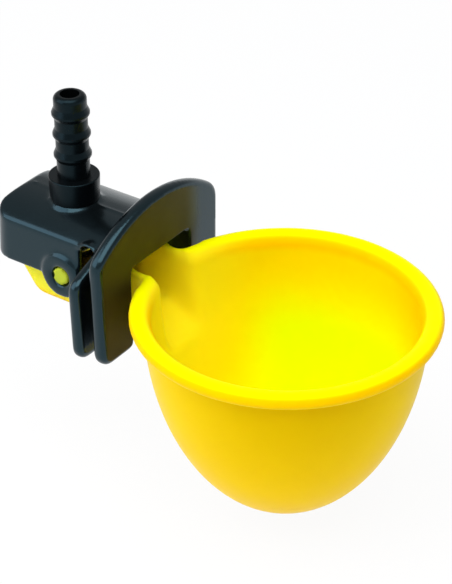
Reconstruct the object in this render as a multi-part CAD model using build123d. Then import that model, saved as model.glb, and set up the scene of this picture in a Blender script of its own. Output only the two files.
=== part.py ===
from build123d import *
import math
import os

# Weight-operated cup drinker for poultry cages, in millimetres.
# +X runs from the water inlet to the bowl, +Y across, +Z up.
# The origin is the middle of the gap that takes the cage panel, level with the cup's hinge.

# Cage plates: the shield faces the birds and the wing plate stands behind the panel.
panel_gap = 2.8
shield_thickness = 4.2
wing_thickness = 3.6
shield_half_width = 25.9
wing_half_width = 26.7
plate_foot_narrowing = 0.6
plate_bottom_z = -15.7
shield_apex_z = 24.9
shield_arch_radius = 40.5
shield_shoulder_radius = 5.5
shield_edge_round = 1.7
wing_inner_top_z = 12.2
wing_outer_top_z = 7.6
wing_shoulder_radius = 4.0
wing_edge_round = 1.5
plate_foot_radius = 3.5
slot_side_gap = 4.1
slot_top_z = 8.7
slot_corner_radius = 1.5
slot_mouth_radius = 2.5

# Housing: a crowned cover, open below, with the two hinge ears.
housing_half_width = 14.3
housing_rear_x = -40.6
housing_ridge_z = 15.1
housing_shoulder_z = 11.2
housing_skirt_z = -1.3
housing_wall = 2.0
housing_roof = 2.2
housing_corner_radius = 6.5
rear_curve_radius = 3.4
housing_draft = 0.6
housing_edge_round = 0.7
notch_back_x = -10.4
notch_rise = 0.5
notch_lip = 0.8
notch_lip_reach = 2.8
notch_lip_proud = 0.35
parting_width = 0.5
parting_proud = 0.2

# Hinge: the cup's trunnions turn in the ears.
hinge_x = -16.5
ear_radius = 6.3
ear_proud = 1.3
ear_edge_round = 0.4
ear_recess_radius = 2.9
ear_recess_depth = 1.2
trunnion_radius = 2.4
trunnion_running_fit = 0.06
trunnion_short_of_face = 0.8
thrust_boss_radius = 4.0
thrust_gap = 0.3

# Cup hinge travel, from the raised cup to the closed valve.
tip_angle = 6.0
stop_gap = 0.3

# Hose tail with its collar, held from below by a flanged nut.
tail_x = -22.75
boss_radius = 6.85
boss_top_z = 15.4
boss_inner_radius = 9.0
boss_inner_drop = 0.1
collar_height = 6.7
collar_top_radius = 6.9
collar_base_radius = 6.65
collar_edge_round = 0.35
stem_radius = 4.4
barb_radius = 5.05
barb_pitch = 6.05
barb_count = 3
barb_land = 0.6
barb_upper_flank = 1.5
barb_lower_flank = 1.15
first_barb_above_collar = 6.2
nose_above_last_barb = 5.3
nose_round = 1.4
inlet_bore_radius = 2.6
shank_radius = 5.2
shank_clearance = 0.05
nozzle_radius = 3.2
nozzle_tip_z = 0.2
nozzle_lip_radius = 2.3
nozzle_lip_height = 0.9
nozzle_bore_radius = 1.6
nozzle_bore_length = 6.0

# Flanged nut under the roof.
nut_flange_radius = 8.8
nut_flange_thickness = 1.2
nut_across_flats = 11.4
nut_height = 5.2
nut_chamfer = 0.5

# Valve pad in the cup's tail, and the spring between the nut and its seat in the tail.
pad_radius = 3.3
pad_thickness = 2.6
pad_proud = 0.8
pad_edge_round = 0.4
pad_closed_gap = 0.05
pedestal_radius = 4.2
pedestal_sink = 0.6
spring_wire_radius = 0.5
spring_mean_radius = 5.9
spring_pitch = 3.3
spring_seat_gap = 0.1
spring_seat_radius = 7.6
spring_seat_height = 2.1

# Bowl: half an ellipsoid with a rolled rim.
rim_z = 3.3
rim_outer_radius = 40.0
rim_into_slot = 0.75
bead_radius = 2.18
rim_roll_radius = 3.2
rim_overhang = 3.6
bowl_depth_radius = 58.0
bowl_wall = 2.2
bowl_foot_radius = 8.0
bead_root_round = 0.8

# Arm and tail of the cup: an open channel from under the nozzle to the bowl.
arm_narrowing = 2.7
arm_wall = 2.0
arm_below_rim = 0.2
channel_floor_z = -10.5
channel_fall_x = 2.4
channel_fall_angle = 33.0
tail_side_gap = 1.1
tail_rear_x = -38.2
tail_slope_top_z = 0.0
tail_slope_angle = 35.0
tail_heel_radius = 5.0
tail_narrows_x = -12.0
tail_narrow_run = 5.0
channel_edge_round = 3.4
wall_top_round = 0.8
channel_mouth_round = 3.2

# Length by which every cutting shape runs past what it cuts.
overrun = 8.0

# Distance within which an edge or a corner counts as lying at a place.
near = 0.08

# Places that follow from the sizes above.
shield_back_x = panel_gap / 2
shield_front_x = shield_back_x + shield_thickness
wing_front_x = -panel_gap / 2
wing_back_x = wing_front_x - wing_thickness
rim_top_z = rim_z + bead_radius
arm_top_z = rim_top_z - arm_below_rim
bead_centre_radius = rim_outer_radius - bead_radius
bowl_wall_radius = rim_outer_radius - rim_overhang
bowl_x = shield_front_x + rim_outer_radius - rim_into_slot
tail_half_width = housing_half_width - housing_wall - tail_side_gap
arm_half_width = tail_half_width - arm_narrowing
slot_half_width = arm_half_width + slot_side_gap
wing_slot_top_z = arm_top_z + stop_gap
collar_top_z = boss_top_z + collar_height
ear_face_y = housing_half_width + ear_proud
ear_bore_radius = trunnion_radius + trunnion_running_fit
hollow_half_width = housing_half_width - housing_wall
crown_rise = housing_ridge_z - housing_shoulder_z
hollow_arc_radius = (hollow_half_width**2 + crown_rise**2) / (crown_rise * 2)
hollow_arc_centre_z = housing_ridge_z - housing_roof - hollow_arc_radius
boss_edge_z = hollow_arc_centre_z + math.sqrt(hollow_arc_radius**2 - boss_inner_radius**2)
boss_inner_z = boss_edge_z - boss_inner_drop
nut_top_z = boss_inner_z
nut_bottom_z = nut_top_z - nut_height
spring_seat_z = channel_floor_z + spring_seat_height
channel_fall_slope = math.tan(math.radians(channel_fall_angle))
bowl_inner_radius = bowl_wall_radius - bowl_wall
bowl_inner_depth_radius = bowl_depth_radius - bowl_wall
roll_x = bowl_inner_radius + rim_roll_radius
roll_z = rim_top_z - rim_roll_radius


def outline(*parts):
    """Face inside a closed chain of edges drawn on the XY plane."""
    return make_face(Curve() + list(parts))


def across(face, half_width):
    """Solid that carries a face drawn as X and Z to both sides of the middle."""
    return extrude(Plane.XZ * face, amount=half_width, both=True)


def along(face, start_x, end_x):
    """Solid that carries a face drawn as Y and Z from one X to another."""
    return extrude(Plane.YZ.offset(start_x) * face, amount=end_x - start_x)


def turned(face, x):
    """Solid turned from a face drawn as radius and Z, about an upright axis at x."""
    return Pos(x, 0, 0) * revolve(Plane.XZ * face, axis=Axis.Z)


def cross_rod(radius, x, z, start_y, end_y):
    """Round rod along Y."""
    rod = Cylinder(radius, end_y - start_y, align=(Align.CENTER, Align.CENTER, Align.MIN))
    return Pos(x, start_y, z) * Rot(-90, 0, 0) * rod


def at_tip(shape, angle):
    """Shape turned about the hinge, where a positive angle lowers the bowl."""
    hinge = Axis((hinge_x, 0, 0), (0, 1, 0))
    return shape.rotate(hinge, angle)


def both_sides(shape):
    """Shape and its mirror image across the middle plane."""
    return shape + mirror(shape, about=Plane.XZ)


def crown_radius(half_width):
    """Radius of the arch over a housing of this half width."""
    return (half_width**2 + crown_rise**2) / (crown_rise * 2)


def housing_plan(inset, low_z, front_x):
    """Plan of the housing at this height, with its rear corners rounded."""
    spread = housing_draft * (housing_shoulder_z - low_z) / (housing_shoulder_z - housing_skirt_z)
    half_width = housing_half_width + spread - inset
    rear_x = housing_rear_x - spread + inset
    plan = outline(Polyline(
        (rear_x, -half_width), (front_x, -half_width), (front_x, half_width),
        (rear_x, half_width), close=True))
    corners = plan.vertices().group_by(Axis.X)[0]
    return fillet(corners, housing_corner_radius - inset)


def housing_block(inset, roof_inset, front_x):
    """Crowned block of the housing, or with insets the hollow inside it."""
    low_z = housing_skirt_z - (overrun if inset else 0)
    ridge_z = housing_ridge_z - roof_inset
    draft_angle = math.degrees(math.atan(
        housing_draft / (housing_shoulder_z - housing_skirt_z)))
    walls = Pos(0, 0, low_z) * extrude(
        housing_plan(inset, low_z, front_x + overrun), amount=ridge_z - low_z,
        taper=draft_angle)
    arch_radius = crown_radius(housing_half_width - inset)
    arch = along(
        Pos(0, ridge_z - arch_radius) * Circle(arch_radius), housing_rear_x - overrun, front_x)
    return walls & arch


def rear_curve():
    """Side view of all that lies before the curved top of the housing's rear wall."""
    low_z = housing_skirt_z - overrun
    low_x = housing_rear_x - overrun
    curve_z = housing_shoulder_z + housing_edge_round
    rise = housing_ridge_z + overrun - curve_z
    top_x = housing_rear_x + rear_curve_radius
    return outline(
        Line((low_x, low_z), (shield_back_x, low_z)),
        Line((shield_back_x, low_z), (shield_back_x, curve_z + rear_curve_radius)),
        Line((shield_back_x, curve_z + rear_curve_radius), (top_x, curve_z + rear_curve_radius)),
        RadiusArc((top_x, curve_z + rear_curve_radius), (housing_rear_x, curve_z), -rear_curve_radius),
        Line((housing_rear_x, curve_z), (low_x, curve_z)),
        Line((low_x, curve_z), (low_x, low_z)),
    )


def shield():
    """Front plate with an arched top and rounded edges."""
    arc_centre_z = shield_apex_z - shield_arch_radius
    shoulder_z = arc_centre_z + math.sqrt(shield_arch_radius**2 - shield_half_width**2)
    foot_y = shield_half_width - plate_foot_narrowing
    face = outline(
        Line((-foot_y, plate_bottom_z), (foot_y, plate_bottom_z)),
        Line((foot_y, plate_bottom_z), (shield_half_width, shoulder_z)),
        ThreePointArc(
            (shield_half_width, shoulder_z), (0, shield_apex_z), (-shield_half_width, shoulder_z)),
        Line((-shield_half_width, shoulder_z), (-foot_y, plate_bottom_z)),
    )
    face = fillet(face.vertices().group_by(Axis.Y)[-1], shield_shoulder_radius)
    face = fillet(face.vertices().group_by(Axis.Y)[0], plate_foot_radius)
    plate = along(face, shield_back_x, shield_front_x)
    rims = plate.edges().filter_by_position(Axis.X, shield_front_x, shield_front_x)
    rims += plate.edges().filter_by_position(Axis.X, shield_back_x, shield_back_x)
    return fillet(rims, shield_edge_round)


def wing_plate():
    """Rear plate, lower than the shield, with sloping shoulders."""
    inner_y = housing_half_width
    foot_y = wing_half_width - plate_foot_narrowing
    face = outline(Polyline(
        (-foot_y, plate_bottom_z),
        (foot_y, plate_bottom_z),
        (wing_half_width, wing_outer_top_z),
        (inner_y, wing_inner_top_z),
        (-inner_y, wing_inner_top_z),
        (-wing_half_width, wing_outer_top_z),
        close=True,
    ))
    shoulders = [v for v in face.vertices() if abs(v.Y - wing_outer_top_z) < near]
    face = fillet(shoulders, wing_shoulder_radius)
    face = fillet(face.vertices().group_by(Axis.Y)[0], plate_foot_radius)
    plate = along(face, wing_back_x, wing_front_x)
    rims = plate.edges().filter_by_position(Axis.X, wing_front_x, wing_front_x)
    rims += plate.edges().filter_by_position(Axis.X, wing_back_x, wing_back_x)
    return fillet(rims, wing_edge_round)


def slot_cutter(top_z, start_x, end_x):
    """Passage for the arm, open below, with a flared round mouth."""
    mouth_y = slot_half_width + slot_mouth_radius
    mouth_z = plate_bottom_z + slot_mouth_radius
    turn_share = 1 - math.sqrt(1 / 2)
    middle = (
        slot_half_width + slot_mouth_radius * turn_share,
        plate_bottom_z + slot_mouth_radius * turn_share,
    )
    low_z = plate_bottom_z - overrun
    face = outline(
        Line((-slot_half_width, top_z), (slot_half_width, top_z)),
        Line((slot_half_width, top_z), (slot_half_width, mouth_z)),
        ThreePointArc((slot_half_width, mouth_z), middle, (mouth_y, plate_bottom_z)),
        Polyline(
            (mouth_y, plate_bottom_z), (mouth_y, low_z), (-mouth_y, low_z),
            (-mouth_y, plate_bottom_z)),
        ThreePointArc(
            (-mouth_y, plate_bottom_z), (-middle[0], middle[1]), (-slot_half_width, mouth_z)),
        Line((-slot_half_width, mouth_z), (-slot_half_width, top_z)),
    )
    face = fillet(face.vertices().group_by(Axis.Y)[-1], slot_corner_radius)
    return along(face, start_x, end_x)


def notch_shape(margin, start_y, end_y):
    """Round-headed opening in the side wall behind the wing plate."""
    half_span = (wing_back_x - notch_back_x) / 2
    middle_x = (wing_back_x + notch_back_x) / 2
    head_radius = half_span + margin
    head_z = housing_shoulder_z + notch_rise - half_span
    head = cross_rod(head_radius, middle_x, head_z, start_y, end_y)
    low_z = housing_skirt_z - (0 if margin else overrun)
    shaft = Pos(middle_x, (start_y + end_y) / 2, (head_z + low_z) / 2) * Box(
        head_radius * 2, end_y - start_y, head_z - low_z)
    return head if margin else head + shaft


def parting_ridge():
    """Fine mould line along the crown, behind and before the hose tail's boss."""
    ridge = along(
        outline(
            Line((-parting_width / 2, housing_ridge_z - housing_roof / 2),
                 (parting_width / 2, housing_ridge_z - housing_roof / 2)),
            Line((parting_width / 2, housing_ridge_z - housing_roof / 2),
                 (parting_width / 2, housing_ridge_z)),
            ThreePointArc(
                (parting_width / 2, housing_ridge_z),
                (0, housing_ridge_z + parting_proud),
                (-parting_width / 2, housing_ridge_z)),
            Line((-parting_width / 2, housing_ridge_z),
                 (-parting_width / 2, housing_ridge_z - housing_roof / 2)),
        ),
        housing_rear_x + rear_curve_radius, shield_back_x)
    boss_room = Pos(tail_x, 0, housing_ridge_z) * Cylinder(boss_radius - parting_width, overrun)
    return ridge - boss_room


def ear():
    """Round hinge lug on one side wall."""
    inner_y = housing_half_width - housing_wall
    lug = cross_rod(ear_radius, hinge_x, 0, inner_y, ear_face_y)
    rim = lug.edges().filter_by_position(Axis.Y, ear_face_y, ear_face_y)
    return fillet(rim, ear_edge_round)


def ear_bore():
    """Running bore for one trunnion, with its wider outer recess."""
    inner_y = housing_half_width - housing_wall
    bore = cross_rod(ear_bore_radius, hinge_x, 0, inner_y - housing_wall, ear_face_y)
    recess = cross_rod(
        ear_recess_radius, hinge_x, 0, ear_face_y - ear_recess_depth, ear_face_y + overrun)
    return bore + recess


def housing():
    """Cover, skirt, ears and both cage plates as one moulding."""
    body = housing_block(0, 0, shield_back_x)
    top_edges = [
        e for e in body.edges()
        if e.center().Z > housing_shoulder_z - housing_edge_round
        and e.center().X < wing_back_x
    ]
    body = fillet(top_edges, housing_edge_round) & across(rear_curve(), wing_half_width)
    hollow = housing_block(housing_wall, housing_roof, wing_back_x)
    boss = Pos(tail_x, 0, housing_ridge_z - housing_roof) * Cylinder(
        boss_radius, boss_top_z - housing_ridge_z + housing_roof,
        align=(Align.CENTER, Align.CENTER, Align.MIN))
    inner_boss = Pos(tail_x, 0, boss_inner_z) * Cylinder(
        boss_inner_radius, housing_ridge_z - housing_roof / 2 - boss_inner_z,
        align=(Align.CENTER, Align.CENTER, Align.MIN))
    lip = notch_shape(
        notch_lip, housing_half_width - notch_lip_reach, housing_half_width + notch_lip_proud)
    lip_room = Pos(wing_back_x, 0, housing_shoulder_z - notch_lip) * Box(
        notch_rise + overrun * 2, housing_half_width * 2 + overrun, overrun,
        align=(Align.MAX, Align.CENTER, Align.MIN))
    body = body + both_sides(lip & lip_room) - hollow
    body = body + both_sides(ear()) + (inner_boss & housing_block(0, 0, wing_back_x))
    notch = notch_shape(
        0, housing_half_width - notch_lip_reach, housing_half_width + overrun)
    body = body - both_sides(notch) + wing_plate() + boss + shield()
    body = body - slot_cutter(wing_slot_top_z, wing_back_x - housing_wall, wing_front_x)
    body = body - slot_cutter(slot_top_z, wing_front_x, shield_front_x + overrun)
    body = body - both_sides(ear_bore())
    shank_hole = Pos(tail_x, 0, boss_inner_z - overrun) * Cylinder(
        shank_radius + shank_clearance, boss_top_z - boss_inner_z + overrun + overrun,
        align=(Align.CENTER, Align.CENTER, Align.MIN))
    return body - shank_hole + parting_ridge()


def barb_points():
    """Outside of the hose tail from the nose down to the collar, as radius and Z."""
    points = []
    for number in reversed(range(barb_count)):
        crest_z = collar_top_z + first_barb_above_collar + number * barb_pitch
        points += [
            (stem_radius, crest_z + barb_land / 2 + barb_upper_flank),
            (barb_radius, crest_z + barb_land / 2),
            (barb_radius, crest_z - barb_land / 2),
            (stem_radius, crest_z - barb_land / 2 - barb_lower_flank),
        ]
    return points


def hose_tail():
    """Barbed hose tail, collar, shank and nozzle, turned in one piece."""
    nose_z = (
        collar_top_z + first_barb_above_collar
        + (barb_count - 1) * barb_pitch + nose_above_last_barb)
    bore_foot_z = nozzle_tip_z + nozzle_bore_length
    section = outline(Polyline(
        (inlet_bore_radius, nose_z),
        (stem_radius, nose_z),
        *barb_points(),
        (stem_radius, collar_top_z),
        (collar_top_radius, collar_top_z),
        (collar_base_radius, boss_top_z),
        (shank_radius, boss_top_z),
        (shank_radius, nut_bottom_z),
        (nozzle_radius, nut_bottom_z),
        (nozzle_radius, nozzle_tip_z + nozzle_lip_height),
        (nozzle_lip_radius, nozzle_tip_z),
        (nozzle_bore_radius, nozzle_tip_z),
        (nozzle_bore_radius, bore_foot_z),
        (inlet_bore_radius, bore_foot_z + inlet_bore_radius - nozzle_bore_radius),
        close=True,
    ))
    nose = [v for v in section.vertices()
            if abs(v.Y - nose_z) < near and v.X > stem_radius - near]
    section = fillet(nose, nose_round)
    collar_rim = [v for v in section.vertices()
                  if abs(v.Y - collar_top_z) < near and v.X > collar_top_radius - near]
    section = fillet(collar_rim, collar_edge_round)
    return turned(section, tail_x)


def tail_nut():
    """Flanged hexagon nut that holds the hose tail and backs the spring."""
    hexagon = extrude(
        RegularPolygon(nut_across_flats / 2, 6, major_radius=False), amount=nut_height)
    foot = hexagon.edges().filter_by_position(Axis.Z, 0, 0)
    hexagon = chamfer(foot, nut_chamfer)
    flange = Pos(0, 0, nut_height - nut_flange_thickness) * Cylinder(
        nut_flange_radius, nut_flange_thickness, align=(Align.CENTER, Align.CENTER, Align.MIN))
    bore = Cylinder(
        shank_radius + shank_clearance, nut_height,
        align=(Align.CENTER, Align.CENTER, Align.MIN))
    return Pos(tail_x, 0, nut_bottom_z) * (hexagon + flange - bore)


def valve_pad_closed():
    """Rubber pad as it lies against the nozzle when the bowl is down."""
    pad = Cylinder(pad_radius, pad_thickness, align=(Align.CENTER, Align.CENTER, Align.MAX))
    pad = fillet(pad.edges().group_by(Axis.Z)[-1], pad_edge_round)
    return Pos(tail_x, 0, nozzle_tip_z - pad_closed_gap) * pad


def valve_pad():
    """Rubber pad with the cup at rest."""
    return at_tip(valve_pad_closed(), -tip_angle)


def return_spring():
    """Compression spring with plain ends, between the nut and the seat in the tail."""
    low_z = spring_seat_z + spring_seat_gap + spring_wire_radius
    high_z = nut_bottom_z - spring_seat_gap - spring_wire_radius
    path = Helix(pitch=spring_pitch, height=high_z - low_z, radius=spring_mean_radius)
    section = Plane(origin=path @ 0, z_dir=path % 0) * Circle(spring_wire_radius)
    return Pos(tail_x, 0, low_z) * sweep(section, path=path, is_frenet=True)


def foot_turn(radius):
    """Angle below the rim at which the bowl's ellipse of this radius meets the foot."""
    return math.acos(bowl_foot_radius / radius)


def foot_z(radius, depth_radius):
    """Height at which the bowl's ellipse of these radii meets the foot."""
    return rim_z - depth_radius * math.sin(foot_turn(radius))


def bowl_inside_edges():
    """Inside of the bowl from the middle of its foot to the top of the rim."""
    floor_z = foot_z(bowl_inner_radius, bowl_inner_depth_radius)
    floor_turn = foot_turn(bowl_inner_radius)
    roll_turn = math.asin((rim_z - roll_z) / bowl_inner_depth_radius)
    join_x = bowl_inner_radius * math.cos(roll_turn)
    return [
        Line((0, floor_z), (bowl_foot_radius, floor_z)),
        EllipticalCenterArc(
            (0, rim_z), bowl_inner_radius, bowl_inner_depth_radius,
            start_angle=-math.degrees(floor_turn),
            arc_size=math.degrees(floor_turn - roll_turn)),
        RadiusArc((join_x, roll_z), (roll_x, rim_top_z), rim_roll_radius),
    ]


def bowl_shell():
    """Bowl wall with its flat foot, flared inside at the rolled rim."""
    floor_z = foot_z(bowl_inner_radius, bowl_inner_depth_radius)
    underside_z = foot_z(bowl_wall_radius, bowl_depth_radius)
    outer_turn = math.degrees(foot_turn(bowl_wall_radius))
    section = outline(
        Line((0, underside_z), (bowl_foot_radius, underside_z)),
        EllipticalCenterArc(
            (0, rim_z), bowl_wall_radius, bowl_depth_radius,
            start_angle=-outer_turn, arc_size=outer_turn),
        Polyline((bowl_wall_radius, rim_z), (bead_centre_radius, rim_z),
                 (bead_centre_radius, rim_top_z), (roll_x, rim_top_z)),
        *bowl_inside_edges(),
        Line((0, floor_z), (0, underside_z)),
    )
    bead = Pos(bead_centre_radius, rim_z) * Circle(bead_radius)
    shell = turned((section + bead).faces()[0], bowl_x)
    root_z = rim_z - math.sqrt(bead_radius**2 - (bead_centre_radius - bowl_wall_radius) ** 2)
    root = [
        e for e in shell.edges()
        if abs(e.center().Z - root_z) < near and e.length > bowl_wall_radius
    ]
    return fillet(root, bead_root_round)


def bowl_room():
    """Space inside the bowl and above its rim."""
    high_z = rim_top_z + overrun
    floor_z = foot_z(bowl_inner_radius, bowl_inner_depth_radius)
    section = outline(
        *bowl_inside_edges(),
        Polyline((roll_x, rim_top_z), (roll_x, high_z), (0, high_z), (0, floor_z)),
    )
    return turned(section, bowl_x)


def channel_side(inset, top_z):
    """Side view of the tail and arm: a sloping heel, a level floor, then the fall to the bowl."""
    floor_z = channel_floor_z - arm_wall + inset
    rear_x = tail_rear_x + inset
    fall_shift = inset * (1 - 1 / math.cos(math.radians(channel_fall_angle)))
    end_z = floor_z + fall_shift - (bowl_x - channel_fall_x) * channel_fall_slope
    slope = math.radians(tail_slope_angle)
    heel_top_z = tail_slope_top_z + inset * math.tan(slope / 2)
    heel_foot_x = tail_rear_x + (
        inset + (tail_slope_top_z - floor_z) * math.sin(slope)) / math.cos(slope)
    side = outline(Polyline(
        (rear_x, top_z),
        (rear_x, heel_top_z),
        (heel_foot_x, floor_z),
        (channel_fall_x, floor_z),
        (bowl_x, end_z),
        (bowl_x, top_z),
        close=True,
    ))
    heel = [
        v for v in side.vertices()
        if v.Y < top_z - near and v.X < heel_foot_x + near
    ]
    return fillet(heel, tail_heel_radius - inset)


def channel_plan(inset):
    """Plan of the tail and arm, wide between the ears and narrow through the slot."""
    wide = tail_half_width - inset
    narrow = arm_half_width - inset
    rear_x = tail_rear_x + inset
    return outline(Polyline(
        (rear_x, -wide),
        (tail_narrows_x, -wide),
        (tail_narrows_x + tail_narrow_run, -narrow),
        (bowl_x, -narrow),
        (bowl_x, narrow),
        (tail_narrows_x + tail_narrow_run, narrow),
        (tail_narrows_x, wide),
        (rear_x, wide),
        close=True,
    ))


def channel_block(inset, top_z):
    """Outer block of the tail and arm, or with an inset the channel inside it."""
    low_z = plate_bottom_z - bowl_depth_radius
    upright = Pos(0, 0, low_z) * extrude(channel_plan(inset), amount=top_z - low_z)
    block = upright & across(channel_side(inset, top_z), tail_half_width + overrun)
    narrow_y = arm_half_width - inset
    keels = [
        e for e in block.edges()
        if abs(e.center().Y) > narrow_y - near
        and e.center().Z < top_z - near
        and e.center().X < bowl_x - near
    ]
    return fillet(keels, channel_edge_round - inset)


def arm_walls():
    """Open channel with rounded wall tops, still running on through the bowl."""
    walls = channel_block(0, arm_top_z) - channel_block(arm_wall, rim_top_z + overrun)
    tops = [
        e for e in walls.edges()
        if abs(e.center().Z - arm_top_z) < near and e.center().X < bowl_x - near
    ]
    return fillet(tops, wall_top_round)


def cup():
    """Bowl, arm, tail, spring seat, pedestal and trunnions as one moulding."""
    room = bowl_room() + channel_block(arm_wall, rim_top_z + overrun)
    mouth_x = bowl_x - bowl_wall_radius
    mouths = [
        e for e in room.edges()
        if abs(abs(e.center().Y) - arm_half_width + arm_wall) < arm_wall / 2
        and mouth_x - arm_wall < e.center().X < mouth_x + overrun
        and e.geom_type != GeomType.LINE
    ]
    room = fillet(mouths, channel_mouth_round)
    body = bowl_shell() + (arm_walls() - bowl_room()) - room
    pedestal_top_z = nozzle_tip_z - pad_closed_gap - pad_proud
    pedestal_foot_z = spring_seat_z - pedestal_sink
    seat = Pos(tail_x, 0, channel_floor_z - pedestal_sink) * Cylinder(
        spring_seat_radius, spring_seat_height + pedestal_sink,
        align=(Align.CENTER, Align.CENTER, Align.MIN))
    pedestal = Pos(tail_x, 0, pedestal_foot_z) * Cylinder(
        pedestal_radius, pedestal_top_z - pedestal_foot_z,
        align=(Align.CENTER, Align.CENTER, Align.MIN))
    body = body + seat + at_tip(pedestal, -tip_angle) - valve_pad()
    boss = cross_rod(
        thrust_boss_radius, hinge_x, 0, tail_half_width - arm_wall,
        housing_half_width - housing_wall - thrust_gap)
    pin = cross_rod(
        trunnion_radius, hinge_x, 0, tail_half_width - arm_wall,
        ear_face_y - trunnion_short_of_face)
    return body + both_sides(boss + pin)


def save(shape, name):
    """Write one piece to its own file."""
    export_step(shape, "parts/" + name + ".step")


os.makedirs("parts", exist_ok=True)
save(housing(), "housing")
save(hose_tail(), "hose_tail")
save(tail_nut(), "tail_nut")
save(return_spring(), "return_spring")
save(valve_pad(), "valve_pad")
save(cup(), "cup")
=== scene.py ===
"""Looks of a weight-operated cup drinker for poultry, laid out as a Blender add-on.

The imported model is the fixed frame. This file gives every piece its moulded, drawn or
rubber finish, and sets up the floor, the lamps and the camera.
"""

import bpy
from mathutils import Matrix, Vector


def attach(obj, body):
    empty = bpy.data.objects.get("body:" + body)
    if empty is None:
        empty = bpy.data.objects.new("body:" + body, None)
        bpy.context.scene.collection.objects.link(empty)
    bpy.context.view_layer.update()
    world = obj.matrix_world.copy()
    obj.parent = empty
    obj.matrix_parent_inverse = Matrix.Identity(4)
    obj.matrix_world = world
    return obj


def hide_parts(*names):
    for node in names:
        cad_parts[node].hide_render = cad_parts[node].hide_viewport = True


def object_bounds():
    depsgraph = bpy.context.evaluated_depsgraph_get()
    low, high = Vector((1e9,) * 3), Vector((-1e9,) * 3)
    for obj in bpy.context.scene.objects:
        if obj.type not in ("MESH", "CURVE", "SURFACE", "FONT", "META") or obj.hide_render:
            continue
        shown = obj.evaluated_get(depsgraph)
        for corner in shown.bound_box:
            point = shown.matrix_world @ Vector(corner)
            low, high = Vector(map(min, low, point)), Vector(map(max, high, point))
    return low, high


bl_info = {
    "name": "Poultry cup drinker",
    "version": (1, 0, 0),
    "blender": (4, 5, 0),
    "location": "View3D > Sidebar > Drinker",
    "description": "Finishes a weight-operated cup drinker and its stage",
    "category": "Object",
}

import math

import bmesh
import bpy
from mathutils import Matrix, Vector

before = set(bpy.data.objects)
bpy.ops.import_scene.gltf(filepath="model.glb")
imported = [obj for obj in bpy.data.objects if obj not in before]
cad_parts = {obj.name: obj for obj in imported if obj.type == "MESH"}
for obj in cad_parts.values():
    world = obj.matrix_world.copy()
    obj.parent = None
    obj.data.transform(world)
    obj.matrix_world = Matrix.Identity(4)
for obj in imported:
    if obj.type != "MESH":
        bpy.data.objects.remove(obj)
cad_low, cad_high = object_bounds()

# One millimetre in the scene's own metres.
mm = 0.001

# Faces of the wing plate and the shield, from the middle of the cage panel between them.
wing_back = -5.0 * mm
wing_front = -1.4 * mm
shield_back = 1.4 * mm
shield_front = 5.6 * mm

# Points of the even mesh this close to a plate's face belong to that face.
face_reach = 0.12 * mm

# Points of a node's mesh this close together are one.
merge_distance = 0.001 * mm

# Rounds of smoothing that give a moulding its slightly rounded corners.
corner_rounds = 6

# Where the arm's walls go over into the bowl, as spans of X, of the distance from the middle
# and of Z, each with the rounds of smoothing that it gets: first the rounded mouths in the
# rim, then the walls below and around them.
soft_regions = (
    (((2 * mm, 18 * mm), (4 * mm, 14 * mm), (-6 * mm, math.inf)), 20),
    (((2 * mm, 24 * mm), (3 * mm, 18 * mm), (-28 * mm, 1 * mm)), 24),
)

# The trunnions: the hinge's place, where their sides and their ends begin, measured from the
# middle, the plane that the ends are laid in, and the radius that the sides are set to.
hinge_x = -16.5 * mm
trunnion_side_from = 11.8 * mm
trunnion_end_from = 14.2 * mm
trunnion_end = 15.3 * mm
trunnion_radius = 2.38 * mm

# Points this far from the hinge's line belong to a trunnion's side.
trunnion_side_low = 1.9 * mm
trunnion_side_high = 2.6 * mm


def linear(hex_colour):
    """Linear RGB of an sRGB hex colour."""
    parts = [int(hex_colour[i:i + 2], 16) / 255 for i in (1, 3, 5)]
    return tuple(p / 12.92 if p <= 0.04045 else ((p + 0.055) / 1.055) ** 2.4 for p in parts)


def colour_property(name, hex_colour, description):
    """Colour that the panel shows, with its default given as sRGB hex."""
    return bpy.props.FloatVectorProperty(
        name=name, description=description, subtype="COLOR", size=3,
        min=0, max=1, default=linear(hex_colour))


def length_property(name, length, description):
    """Length that the panel shows, in metres."""
    return bpy.props.FloatProperty(
        name=name, description=description, unit="LENGTH", min=0, precision=5, default=length)


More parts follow.
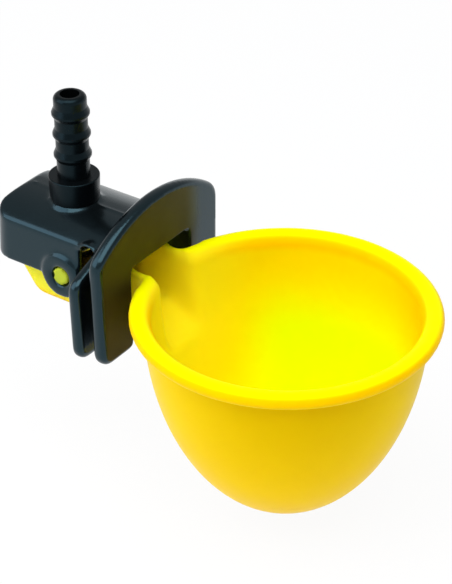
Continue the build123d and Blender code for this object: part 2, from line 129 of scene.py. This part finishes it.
class DrinkerFinish(bpy.types.PropertyGroup):
    """Colours and surface grain of the pieces."""

    # Painted light: the rim is painted lemon where it faces up, as if brightly lit from above.
    rim_lemon_painted_light: colour_property(
        "Rim, facing up", "#FBF500", "Lemon of the rim where it faces the sky")
    # Painted light: a lemon patch is painted on the bowl's inside, across the bowl where it faces
    # up, standing in for the pool of light there.
    bowl_lemon_painted_light: colour_property(
        "Bowl, facing up", "#E4F800", "Cooler lemon of the bowl's inside where it faces the sky")
    # Painted light: the arm, moulded in the same plastic as the bowl, is painted a lighter yellow
    # as if more brightly lit.
    arm_yellow_painted_light: colour_property(
        "Arm", "#FFE81A", "Lighter yellow of the channel arm's thin walls")
    # Painted light: the tail, the same plastic as the bowl, is painted a paler, duller lemon for
    # the light that falls on it behind the panel.
    tail_yellow_painted_light: colour_property(
        "Tail of the cup", "#EEE63A", "Duller lemon of the cup's tail, behind the panel")
    # Painted shade: the trunnions, moulded with the cup, are painted a dull lime for the shade
    # they sit in within the ears.
    trunnion_lime_painted_shade: colour_property(
        "Trunnions", "#B4C038", "Dull lime of the trunnions")
    cup_gold: colour_property(
        "Cup, upright", "#FFDC00", "Golden yellow of the cup's upright walls")
    # Painted shade: the far end of the bowl's inside and the rim's flanks are painted a deeper
    # gold, where less light falls.
    bowl_gold_painted_shade: colour_property(
        "Bowl, deeper", "#FFC800", "Deeper gold inside the bowl's far end and on the rim's flanks")
    # Painted shade: the cup's outside is painted a duller gold, as if shaded from the overhead
    # light.
    outer_gold_painted_shade: colour_property(
        "Cup, outside", "#F2CE00", "Duller gold of the cup's outside")
    # Painted shade: the outside at the bowl's front, under the rim, is painted a deeper gold.
    outer_deep_painted_shade: colour_property(
        "Cup, outside front", "#E0B900", "Deeper gold of the outside at the bowl's front")
    # Painted shade: where the cup faces the ground it is painted a deeper yellow.
    cup_under_painted_shade: colour_property(
        "Cup, facing down", "#F4CA00", "Deeper yellow of the cup where it faces the ground")
    # Painted shade: the dark brown in the tail's trough and along its upper edges stands in for
    # the shade of that recess behind the panel, not a water stain.
    recess_brown_painted_shade: colour_property(
        "Water stain", "#4A3808", "Brown stain of the water in the tail and along its upper edges")
    housing_black: colour_property(
        "Housing", "#070A0B", "Black of the housing")
    tail_black: colour_property(
        "Hose tail", "#040506", "Deeper black of the hose tail")
    nut_black: colour_property(
        "Nut", "#23272A", "Dull black of the nut")
    black_sheen: colour_property(
        "Sheen of the black", "#A2DCF2", "Cool tint of what the black plastic reflects")
    # Painted reflection: the shield face's sheen is tinted yellow, standing in for the bowl's
    # yellow seen in it.
    shield_painted_reflection: colour_property(
        "Sheen of the shield", "#E6DA10", "Warm tint of the shield's face beside the bowl")
    spring_grey: colour_property(
        "Spring", "#C9CCCB", "Bright stainless wire")
    pad_black: colour_property(
        "Valve pad", "#191817", "Matt black rubber")
    bowl_axis: length_property(
        "Bowl axis", 44.85 * mm, "Distance of the bowl's axis from the cage panel")
    grain: length_property(
        "Mould grain", 0.35 * mm, "Width of one grain of the mould's fine texture")
    mottle: length_property(
        "Gloss mottle", 9 * mm, "Width of one patch of slightly different gloss")
    die_line: length_property(
        "Die line", 0.15 * mm, "Width of one mark of the die on the drawn spring wire")
    cup_voxel: length_property(
        "Cup mesh", 0.68 * mm, "Width of one cell of the cup's even mesh")
    housing_voxel: length_property(
        "Housing mesh", 0.45 * mm, "Width of one cell of the housing's even mesh")


class DrinkerStage(bpy.types.PropertyGroup):
    """Floor, sky, lamps and camera."""

    floor_size: length_property("Floor", 6.0, "Edge of the square floor")
    floor_drop: length_property(
        "Room under the bowl", 7.5 * mm, "Height of the raised bowl above the floor")
    floor_glow: bpy.props.FloatProperty(
        name="Floor glow", description="Share of plain white that the eye sees in the floor",
        min=0, max=1, default=0.93)
    paper_white: colour_property("Paper", "#F2F3F5", "White of the paper on the floor")
    sky_white: colour_property("Sky", "#F2F6FB", "White of the even light from all round")
    sky_level: bpy.props.FloatProperty(
        name="Sky level", description="Strength of the even light from all round",
        min=0, default=0.52)
    ceiling_level: bpy.props.FloatProperty(
        name="Ceiling level", description="Brightness of the upper studio in reflections",
        min=0, max=1, default=0.4)
    lamp_size: length_property("Lamps", 0.7, "Edge of each soft box")
    overhead_power: bpy.props.FloatProperty(
        name="Overhead power", description="Power of the overhead soft box in watts",
        min=0, default=5.0)
    side_power: bpy.props.FloatProperty(
        name="Side power", description="Power of the side soft box in watts",
        min=0, default=3.6)
    camera_distance: length_property("Camera distance", 0.5, "Camera to the point it looks at")
    camera_lens: bpy.props.FloatProperty(
        name="Lens", description="Focal length in millimetres for a 36 mm long side",
        min=1, default=119.74)


def add_node(tree, kind, settings=None, inputs=None):
    """Node with its settings made and its sockets set or linked."""
    node = tree.nodes.new(kind)
    for name, value in (settings or {}).items():
        setattr(node, name, value)
    for name, value in (inputs or {}).items():
        if isinstance(value, bpy.types.NodeSocket):
            tree.links.new(value, node.inputs[name])
        else:
            node.inputs[name].default_value = value
    return node


def new_material(name):
    """Empty material, with its node tree and its output node."""
    material = bpy.data.materials.new(name)
    material.use_nodes = True
    material.node_tree.nodes.clear()
    output = add_node(material.node_tree, "ShaderNodeOutputMaterial")
    return material, material.node_tree, output


def surface_values(tree):
    """Place and normal of a point on the surface, whole and split into X, Y and Z."""
    place = add_node(tree, "ShaderNodeTexCoord").outputs["Object"]
    normal = add_node(tree, "ShaderNodeNewGeometry").outputs["Normal"]
    at = add_node(tree, "ShaderNodeSeparateXYZ", None, {"Vector": place}).outputs
    facing = add_node(tree, "ShaderNodeSeparateXYZ", None, {"Vector": normal}).outputs
    return place, normal, at, facing


def layered_colour(tree, base, regions, layers):
    """Colour with layers over a base, and the share of the last layer.

    A region fades in as a value on the surface goes from its first limit to its second.
    A layer lies where all of its regions meet.
    """
    shares = {
        name: add_node(
            tree, "ShaderNodeMapRange", {"interpolation_type": "SMOOTHSTEP"},
            {"Value": value, "From Min": start, "From Max": end}).outputs["Result"]
        for name, (value, start, end) in regions.items()}
    colour = (*base, 1)
    for names, layer in layers:
        share = shares[names[0]]
        for name in names[1:]:
            share = add_node(
                tree, "ShaderNodeMath", {"operation": "MULTIPLY"},
                {0: share, 1: shares[name]}).outputs[0]
        # Sockets 6 and 7 of a Mix node are its two colours, and output 2 its mixed colour.
        colour = add_node(
            tree, "ShaderNodeMix", {"data_type": "RGBA"},
            {"Factor": share, 6: colour, 7: (*layer, 1)}).outputs[2]
    return colour, share


def mould_surface(tree, finish, rough_low, rough_high, relief):
    """Roughness and bump of a moulded surface: a fine spark-eroded grain under a slow mottle."""
    place = add_node(tree, "ShaderNodeTexCoord").outputs["Object"]
    patches = add_node(
        tree, "ShaderNodeTexNoise", None,
        {"Vector": place, "Scale": 1 / finish.mottle, "Detail": 3, "Roughness": 0.55})
    roughness = add_node(
        tree, "ShaderNodeMapRange", None,
        {"Value": patches.outputs["Fac"], "From Min": 0.3, "From Max": 0.7,
         "To Min": rough_low, "To Max": rough_high})
    grains = add_node(
        tree, "ShaderNodeTexNoise", None,
        {"Vector": place, "Scale": 1 / finish.grain, "Detail": 2, "Roughness": 0.5})
    # A grain stands proud by a tenth of its width.
    bump = add_node(
        tree, "ShaderNodeBump", None,
        {"Height": grains.outputs["Fac"], "Strength": relief, "Distance": finish.grain / 10})
    return patches.outputs["Fac"], roughness.outputs["Result"], bump.outputs["Normal"]


def mottled(tree, colour, patches, darkest, lightest):
    """Colour that goes a little darker and lighter from patch to patch."""
    value = add_node(
        tree, "ShaderNodeMapRange", None,
        {"Value": patches, "To Min": darkest, "To Max": lightest})
    shaded = add_node(
        tree, "ShaderNodeHueSaturation", None,
        {"Color": colour, "Value": value.outputs["Result"]})
    return shaded.outputs["Color"]


def cup_regions(tree, finish):
    """Regions of the cup where its colour changes, mostly to paint light and shade."""
    place, normal, at, facing = surface_values(tree)
    from_middle = add_node(
        tree, "ShaderNodeMath", {"operation": "ABSOLUTE"}, {0: at["Y"]}).outputs[0]
    from_axis = add_node(
        tree, "ShaderNodeVectorMath", {"operation": "SUBTRACT"},
        {0: place, 1: (finish.bowl_axis, 0, 0)})
    flat_normal = add_node(
        tree, "ShaderNodeVectorMath", {"operation": "MULTIPLY"}, {0: normal, 1: (1, 1, 0)})
    # Positive on the bowl's outside and negative on its inside.
    outward = add_node(
        tree, "ShaderNodeVectorMath", {"operation": "DOT_PRODUCT"},
        {0: from_axis.outputs["Vector"], 1: flat_normal.outputs["Vector"]}).outputs["Value"]
    # Grows across the bowl, away from the panel and from the near half, at negative Y.
    across = add_node(
        tree, "ShaderNodeVectorMath", {"operation": "DOT_PRODUCT"},
        {0: place, 1: (0.82, 0.58, 0)}).outputs["Value"]
    return {
        "in_bowl": (at["X"], 9 * mm, 22 * mm),
        "towards_front": (at["X"], 25 * mm, 60 * mm),
        "far_end": (at["X"], 48 * mm, 80 * mm),
        "across_bowl": (across, 16 * mm, 40 * mm),
        "near_half": (at["Y"], 0, -26 * mm),
        "inside": (outward, 0, -10 * mm),
        "outside": (outward, 0, 10 * mm),
        "at_rim": (at["Z"], 0, 3 * mm),
        "on_rim": (at["Z"], 3.5 * mm, 5.5 * mm),
        "below_rim": (at["Z"], 1 * mm, -5 * mm),
        "facing_up": (facing["Z"], 0.04, 0.32),
        "level": (facing["Z"], 0.45, 0.88),
        "facing_down": (facing["Z"], 0, -0.5),
        "behind_panel": (at["X"], wing_back, -12 * mm),
        "past_neck": (at["X"], -5.6 * mm, -7 * mm),
        "neck_side": (at["Y"], -3 * mm, -5 * mm),
        "above_hinge": (at["Z"], -1 * mm, 1 * mm),
        "before_tail_end": (at["X"], -27 * mm, -25 * mm),
        "in_tail": (at["X"], -12 * mm, -14 * mm),
        "between_walls": (from_middle, 10.6 * mm, 9.8 * mm),
        "above_tail_floor": (at["Z"], -12 * mm, -11 * mm),
        "on_trunnion": (from_middle, 11.4 * mm, 12 * mm),
    }


def yellow_polypropylene(finish):
    """Injection-moulded polypropylene, coloured in the mass.

    Its soft satin gloss and the light that sinks a little into it make it glow rather than glare.
    Its colour carries painted light and shade: in the bowl and along the rim, where it faces
    up, it is painted lemon as painted light, and where it turns away it is painted a deeper gold
    as painted shade.
    """
    material, tree, output = new_material("Moulded_yellow_polypropylene")
    patches, roughness, normal = mould_surface(
        tree, finish, rough_low=0.30, rough_high=0.38, relief=0.10)
    # The layers below paint light and shade into the colour. The lemon where the bowl and rim face
    # up is painted light, and so are the lighter arm and tail. The deeper golds of the far end,
    # the rim's flanks, the outside, its front, the underside and the lime trunnions are painted
    # shade, and so is the brown in the neck and the tail's trough.
    colour, _ = layered_colour(tree, finish.arm_yellow_painted_light, cup_regions(tree, finish), (
        (("in_bowl",), finish.cup_gold),
        (("in_bowl", "outside"), finish.outer_gold_painted_shade),
        (("towards_front", "near_half", "outside"), finish.outer_deep_painted_shade),
        (("inside", "far_end"), finish.bowl_gold_painted_shade),
        (("in_bowl", "at_rim"), finish.bowl_gold_painted_shade),
        (("behind_panel",), finish.tail_yellow_painted_light),
        (("facing_down",), finish.cup_under_painted_shade),
        (("in_bowl", "below_rim", "facing_up", "across_bowl"), finish.bowl_lemon_painted_light),
        (("on_rim", "level"), finish.rim_lemon_painted_light),
        # Painted shade: dark brown at the neck and inside the tail's trough, where the recess
        # behind the panel lies in shade.
        (("past_neck", "neck_side", "above_hinge"), finish.recess_brown_painted_shade),
        (("before_tail_end", "in_tail", "between_walls", "above_tail_floor"), finish.recess_brown_painted_shade),
        (("behind_panel", "on_trunnion"), finish.trunnion_lime_painted_shade),
    ))
    surface = add_node(
        tree, "ShaderNodeBsdfPrincipled", None,
        {"Base Color": mottled(tree, colour, patches, darkest=0.97, lightest=1.02),
         "Roughness": roughness, "Normal": normal,
         "IOR": 1.49, "Specular IOR Level": 0.03,
         "Specular Tint": (*finish.cup_gold, 1),
         "Subsurface Weight": 0.35, "Subsurface Scale": 2.5 * mm,
         "Subsurface Radius": (1.0, 0.8, 0.1)})
    tree.links.new(surface.outputs["BSDF"], output.inputs["Surface"])
    return material


def black_plastic(name, colour, finish, rough_low, rough_high, relief, gloss):
    """Black moulded plastic or rubber, so near to black that what shows is mostly reflection.

    The shield's face is duller than the rest, and its sheen is tinted yellow, a painted reflection
    of the bowl.
    """
    material, tree, output = new_material(name)
    patches, roughness, normal = mould_surface(tree, finish, rough_low, rough_high, relief)
    _, _, at, facing = surface_values(tree)
    # Painted reflection: on the shield's face beside the bowl the sheen is tinted yellow, as the
    # bowl's reflection.
    tint, bowl_side = layered_colour(
        tree, finish.black_sheen,
        {"facing_bowl": (facing["X"], 0.9, 0.99),
         "at_shield_front": (at["X"], 4.5 * mm, 5.3 * mm),
         "beside_bowl": (at["Y"], 19 * mm, 10 * mm)},
        ((("facing_bowl", "at_shield_front", "beside_bowl"), finish.shield_painted_reflection),))
    # How much rougher the shield's face is than the rest.
    shield_roughness = 0.36
    duller = add_node(
        tree, "ShaderNodeMath", {"operation": "MULTIPLY_ADD"},
        {0: bowl_side, 1: shield_roughness, 2: roughness})
    surface = add_node(
        tree, "ShaderNodeBsdfPrincipled", None,
        {"Base Color": mottled(tree, (*colour, 1), patches, darkest=0.8, lightest=1.2),
         "Roughness": duller.outputs[0], "Normal": normal,
         "IOR": 1.52, "Specular IOR Level": gloss, "Specular Tint": tint})
    tree.links.new(surface.outputs["BSDF"], output.inputs["Surface"])
    return material


def drawn_steel(finish):
    """Drawn stainless spring wire: bright, with fine die lines that stretch the gloss."""
    material, tree, output = new_material("Drawn_stainless_wire")
    place = add_node(tree, "ShaderNodeTexCoord").outputs["Object"]
    lines = add_node(
        tree, "ShaderNodeTexNoise", None,
        {"Vector": place, "Scale": 1 / finish.die_line, "Detail": 2})
    roughness = add_node(
        tree, "ShaderNodeMapRange", None,
        {"Value": lines.outputs["Fac"], "To Min": 0.22, "To Max": 0.38})
    surface = add_node(
        tree, "ShaderNodeBsdfPrincipled", None,
        {"Base Color": (*finish.spring_grey, 1), "Metallic": 1,
         "Roughness": roughness.outputs["Result"]})
    tree.links.new(surface.outputs["BSDF"], output.inputs["Surface"])
    return material


def give(node_name, material):
    """Puts one material on a piece of the frame."""
    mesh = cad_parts[node_name].data
    mesh.materials.clear()
    mesh.materials.append(material)


def soften(bm, verts, rounds):
    """Rounds off the surface at these points, a little more with each round."""
    for _ in range(rounds):
        bmesh.ops.smooth_vert(
            bm, verts=verts, factor=0.5, use_axis_x=True, use_axis_y=True, use_axis_z=True)


def even_mesh(node_name, voxel):
    """Evenly meshed copy of a moulded node, with the slightly rounded corners of a moulding."""
    bm = bmesh.new()
    bm.from_mesh(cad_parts[node_name].data)
    bmesh.ops.remove_doubles(bm, verts=bm.verts, dist=merge_distance)
    mesh = bpy.data.meshes.new("merged")
    bm.to_mesh(mesh)
    bm.free()
    rough = bpy.data.objects.new("merged", mesh)
    bpy.context.scene.collection.objects.link(rough)
    remesh = rough.modifiers.new("even_mesh", "REMESH")
    remesh.mode = "VOXEL"
    remesh.voxel_size = voxel
    even = bpy.data.meshes.new_from_object(
        rough.evaluated_get(bpy.context.evaluated_depsgraph_get()))
    bpy.data.objects.remove(rough)
    bpy.data.meshes.remove(mesh)
    bm = bmesh.new()
    bm.from_mesh(even)
    bpy.data.meshes.remove(even)
    soften(bm, bm.verts, corner_rounds)
    return bm


def within(vert, spans):
    """Whether a point lies in spans of X, of the distance from the middle, and of Z."""
    place = (vert.co.x, abs(vert.co.y), vert.co.z)
    return all(low < length < high for length, (low, high) in zip(place, spans))


def true_trunnions(bm):
    """Lays each trunnion's end in one plane, inside the ear's face, and makes its side round."""
    for vert in bm.verts:
        if abs(vert.co.y) > trunnion_end_from and vert.co.x < 0:
            vert.co.y = math.copysign(trunnion_end, vert.co.y)
        spoke = Vector((vert.co.x - hinge_x, 0, vert.co.z))
        on_side = trunnion_side_low < spoke.length < trunnion_side_high
        if abs(vert.co.y) > trunnion_side_from and on_side:
            spoke.length = trunnion_radius
            vert.co.x = hinge_x + spoke.x
            vert.co.z = spoke.z


def flatten(bm, face):
    """Lays the points close to a plate's face, at this X, into its plane."""
    for vert in bm.verts:
        if abs(vert.co.x - face) < face_reach:
            vert.co.x = face


def finished_piece(bm, name, node_name, body, material):
    """Object that stands for a node, from its finished mesh."""
    for face in bm.faces:
        face.smooth = True
    mesh = bpy.data.meshes.new(name)
    bm.to_mesh(mesh)
    bm.free()
    piece = bpy.data.objects.new(name, mesh)
    bpy.context.scene.collection.objects.link(piece)
    mesh.materials.append(material)
    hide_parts(node_name)
    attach(piece, body)
    return piece


class DRINKER_OT_make_cup(bpy.types.Operator):
    """Make the cup: bowl, channel arm, tail and trunnions, moulded in one."""

    bl_idname = "drinker.make_cup"
    bl_label = "Make the cup"

    def execute(self, context):
        finish = context.scene.drinker_finish
        bm = even_mesh("cup", finish.cup_voxel)
        for spans, rounds in soft_regions:
            soften(bm, [vert for vert in bm.verts if within(vert, spans)], rounds)
        true_trunnions(bm)
        finished_piece(
            bm, "cup_moulding", "cup", "cup", yellow_polypropylene(finish))
        return {"FINISHED"}


class DRINKER_OT_make_housing(bpy.types.Operator):
    """Make the housing: cover, ears, wing plate and shield, moulded in one."""

    bl_idname = "drinker.make_housing"
    bl_label = "Make the housing"

    def execute(self, context):
        finish = context.scene.drinker_finish
        bm = even_mesh("housing", finish.housing_voxel)
        for face in (wing_back, wing_front, shield_back, shield_front):
            flatten(bm, face)
        nylon = black_plastic(
            "Moulded_black_nylon", finish.housing_black, finish,
            rough_low=0.16, rough_high=0.24, relief=0.10, gloss=0.62)
        finished_piece(bm, "housing_moulding", "housing", "housing", nylon)
        return {"FINISHED"}


class DRINKER_OT_finish_inlet(bpy.types.Operator):
    """Finish the water inlet: the hose tail and the nut that holds it."""

    bl_idname = "drinker.finish_inlet"
    bl_label = "Finish the inlet"

    def execute(self, context):
        finish = context.scene.drinker_finish
        give("hose_tail", black_plastic(
            "Moulded_black_acetal", finish.tail_black, finish,
            rough_low=0.25, rough_high=0.35, relief=0.12, gloss=0.22))
        give("tail_nut", black_plastic(
            "Moulded_dull_black_nylon", finish.nut_black, finish,
            rough_low=0.45, rough_high=0.55, relief=0.12, gloss=0.5))
        return {"FINISHED"}


class DRINKER_OT_finish_valve(bpy.types.Operator):
    """Finish the valve: the rubber pad and the return spring."""

    bl_idname = "drinker.finish_valve"
    bl_label = "Finish the valve"

    def execute(self, context):
        finish = context.scene.drinker_finish
        give("valve_pad", black_plastic(
            "Moulded_nitrile_rubber", finish.pad_black, finish,
            rough_low=0.7, rough_high=0.85, relief=0.2, gloss=0.4))
        give("return_spring", drawn_steel(finish))
        return {"FINISHED"}


def seen_directly(tree):
    """Share that is 1 for what the camera sees, also by reflection or through glass."""
    path = add_node(tree, "ShaderNodeLightPath")
    direct = add_node(
        tree, "ShaderNodeMath", {"operation": "MAXIMUM"},
        {0: path.outputs["Is Camera Ray"], 1: path.outputs["Is Glossy Ray"]})
    return add_node(
        tree, "ShaderNodeMath", {"operation": "MAXIMUM"},
        {0: direct.outputs[0], 1: path.outputs["Is Transmission Ray"]}).outputs[0]


def white_paper(stage):
    """Matt white paper, that the eye sees nearly as plain white and that keeps the shadow."""
    material, tree, output = new_material("White_paper_sweep")
    paper = add_node(
        tree, "ShaderNodeBsdfDiffuse", None, {"Color": (*stage.paper_white, 1)})
    glow = add_node(tree, "ShaderNodeEmission", None, {"Color": (1, 1, 1, 1), "Strength": 1})
    share = add_node(
        tree, "ShaderNodeMath", {"operation": "MULTIPLY"},
        {0: seen_directly(tree), 1: stage.floor_glow})
    mixed = add_node(
        tree, "ShaderNodeMixShader", None,
        {0: share.outputs[0], 1: paper.outputs[0], 2: glow.outputs[0]})
    tree.links.new(mixed.outputs[0], output.inputs["Surface"])
    return material


def make_floor(stage):
    """Pale floor that the tipped bowl just clears, with a faint shadow."""
    bm = bmesh.new()
    bmesh.ops.create_grid(bm, x_segments=1, y_segments=1, size=stage.floor_size / 2)
    bmesh.ops.translate(bm, vec=(0, 0, cad_low.z - stage.floor_drop), verts=bm.verts)
    mesh = bpy.data.meshes.new("floor")
    bm.to_mesh(mesh)
    bm.free()
    floor = bpy.data.objects.new("floor", mesh)
    bpy.context.scene.collection.objects.link(floor)
    mesh.materials.append(white_paper(stage))


def make_sky(scene, stage):
    """Even studio light from all round; to the eye, white at the horizon and dim higher up."""
    # Heights of a direction above the horizon, as the sine of its rise.
    white_below = 0.06
    dim_above = 0.32
    world = bpy.data.worlds.new("Studio")
    world.use_nodes = True
    tree = world.node_tree
    tree.nodes.clear()
    output = add_node(tree, "ShaderNodeOutputWorld")
    even = add_node(
        tree, "ShaderNodeBackground", None,
        {"Color": (*stage.sky_white, 1), "Strength": stage.sky_level})
    height = add_node(
        tree, "ShaderNodeSeparateXYZ", None,
        {"Vector": add_node(tree, "ShaderNodeTexCoord").outputs["Generated"]})
    dimming = add_node(
        tree, "ShaderNodeMapRange", {"interpolation_type": "SMOOTHSTEP"},
        {"Value": height.outputs["Z"], "From Min": white_below, "From Max": dim_above,
         "To Min": 1.0, "To Max": stage.ceiling_level})
    studio = add_node(
        tree, "ShaderNodeBackground", None,
        {"Color": (1, 1, 1, 1), "Strength": dimming.outputs["Result"]})
    mixed = add_node(
        tree, "ShaderNodeMixShader", None,
        {0: seen_directly(tree), 1: even.outputs[0], 2: studio.outputs[0]})
    tree.links.new(mixed.outputs[0], output.inputs["Surface"])
    scene.world = world


def make_lamps(stage):
    """Overhead soft box, a little towards the camera, and a weaker one at the left.

    Each lamp has its place, from the middle of the drinker, its power and its colour.
    """
    middle = (cad_low + cad_high) / 2
    lamps = {
        "overhead_soft_box": ((0.14, -0.24, 0.72), stage.overhead_power, "#FFFFFF"),
        "left_soft_box": ((-0.43, -0.51, 0.48), stage.side_power, "#F2F6FF"),
    }
    for name, (offset, power, colour) in lamps.items():
        light = bpy.data.lights.new(name, "AREA")
        light.shape = "SQUARE"
        light.size = stage.lamp_size
        light.energy = power
        light.color = linear(colour)
        lamp = bpy.data.objects.new(name, light)
        lamp.location = middle + Vector(offset)
        lamp.rotation_euler = (middle - lamp.location).to_track_quat("-Z", "Y").to_euler()
        bpy.context.scene.collection.objects.link(lamp)


def make_camera(scene, stage):
    """Camera at the photograph's viewing angle."""
    turn = math.radians(-54.65)
    rise = math.radians(32.85)
    roll = math.radians(-0.449)
    looked_at = Vector((26.2 * mm, 0, 2.75 * mm))
    data = bpy.data.cameras.new("camera")
    data.sensor_width = 36
    data.lens = stage.camera_lens
    data.clip_start = 1 * mm
    back = Vector((
        math.cos(turn) * math.cos(rise), math.sin(turn) * math.cos(rise), math.sin(rise)))
    right = Vector((-math.sin(turn), math.cos(turn), 0))
    up = back.cross(right)
    turned_right = right * math.cos(roll) + up * math.sin(roll)
    turned_up = up * math.cos(roll) - right * math.sin(roll)
    axes = Matrix((turned_right, turned_up, back)).transposed()
    camera = bpy.data.objects.new("camera", data)
    camera.matrix_world = Matrix.Translation(
        looked_at + back * stage.camera_distance) @ axes.to_4x4()
    scene.collection.objects.link(camera)
    scene.camera = camera


class DRINKER_OT_make_stage(bpy.types.Operator):
    """Make the floor, the sky, the lamps and the camera."""

    bl_idname = "drinker.make_stage"
    bl_label = "Make the stage"

    def execute(self, context):
        stage = context.scene.drinker_stage
        context.scene.view_settings.view_transform = "Standard"
        make_floor(stage)
        make_sky(context.scene, stage)
        make_lamps(stage)
        make_camera(context.scene, stage)
        return {"FINISHED"}


operators = (
    DRINKER_OT_make_cup,
    DRINKER_OT_make_housing,
    DRINKER_OT_finish_inlet,
    DRINKER_OT_finish_valve,
    DRINKER_OT_make_stage,
)


class DRINKER_PT_panel(bpy.types.Panel):
    """Sidebar panel with the finishes, the stage and their operators."""

    bl_label = "Cup drinker"
    bl_idname = "DRINKER_PT_panel"
    bl_space_type = "VIEW_3D"
    bl_region_type = "UI"
    bl_category = "Drinker"

    def draw(self, context):
        for group in (context.scene.drinker_finish, context.scene.drinker_stage):
            column = self.layout.column()
            for name in group.__annotations__:
                column.prop(group, name)
        for operator in operators:
            self.layout.operator(operator.bl_idname)


classes = (DrinkerFinish, DrinkerStage, *operators, DRINKER_PT_panel)


def register():
    for each in classes:
        bpy.utils.register_class(each)
    bpy.types.Scene.drinker_finish = bpy.props.PointerProperty(type=DrinkerFinish)
    bpy.types.Scene.drinker_stage = bpy.props.PointerProperty(type=DrinkerStage)


def unregister():
    del bpy.types.Scene.drinker_stage
    del bpy.types.Scene.drinker_finish
    for each in reversed(classes):
        bpy.utils.unregister_class(each)


def main():
    register()
    bpy.ops.drinker.make_cup()
    bpy.ops.drinker.make_housing()
    bpy.ops.drinker.finish_inlet()
    bpy.ops.drinker.finish_valve()
    bpy.ops.drinker.make_stage()


if __name__ == "__main__":
    main()
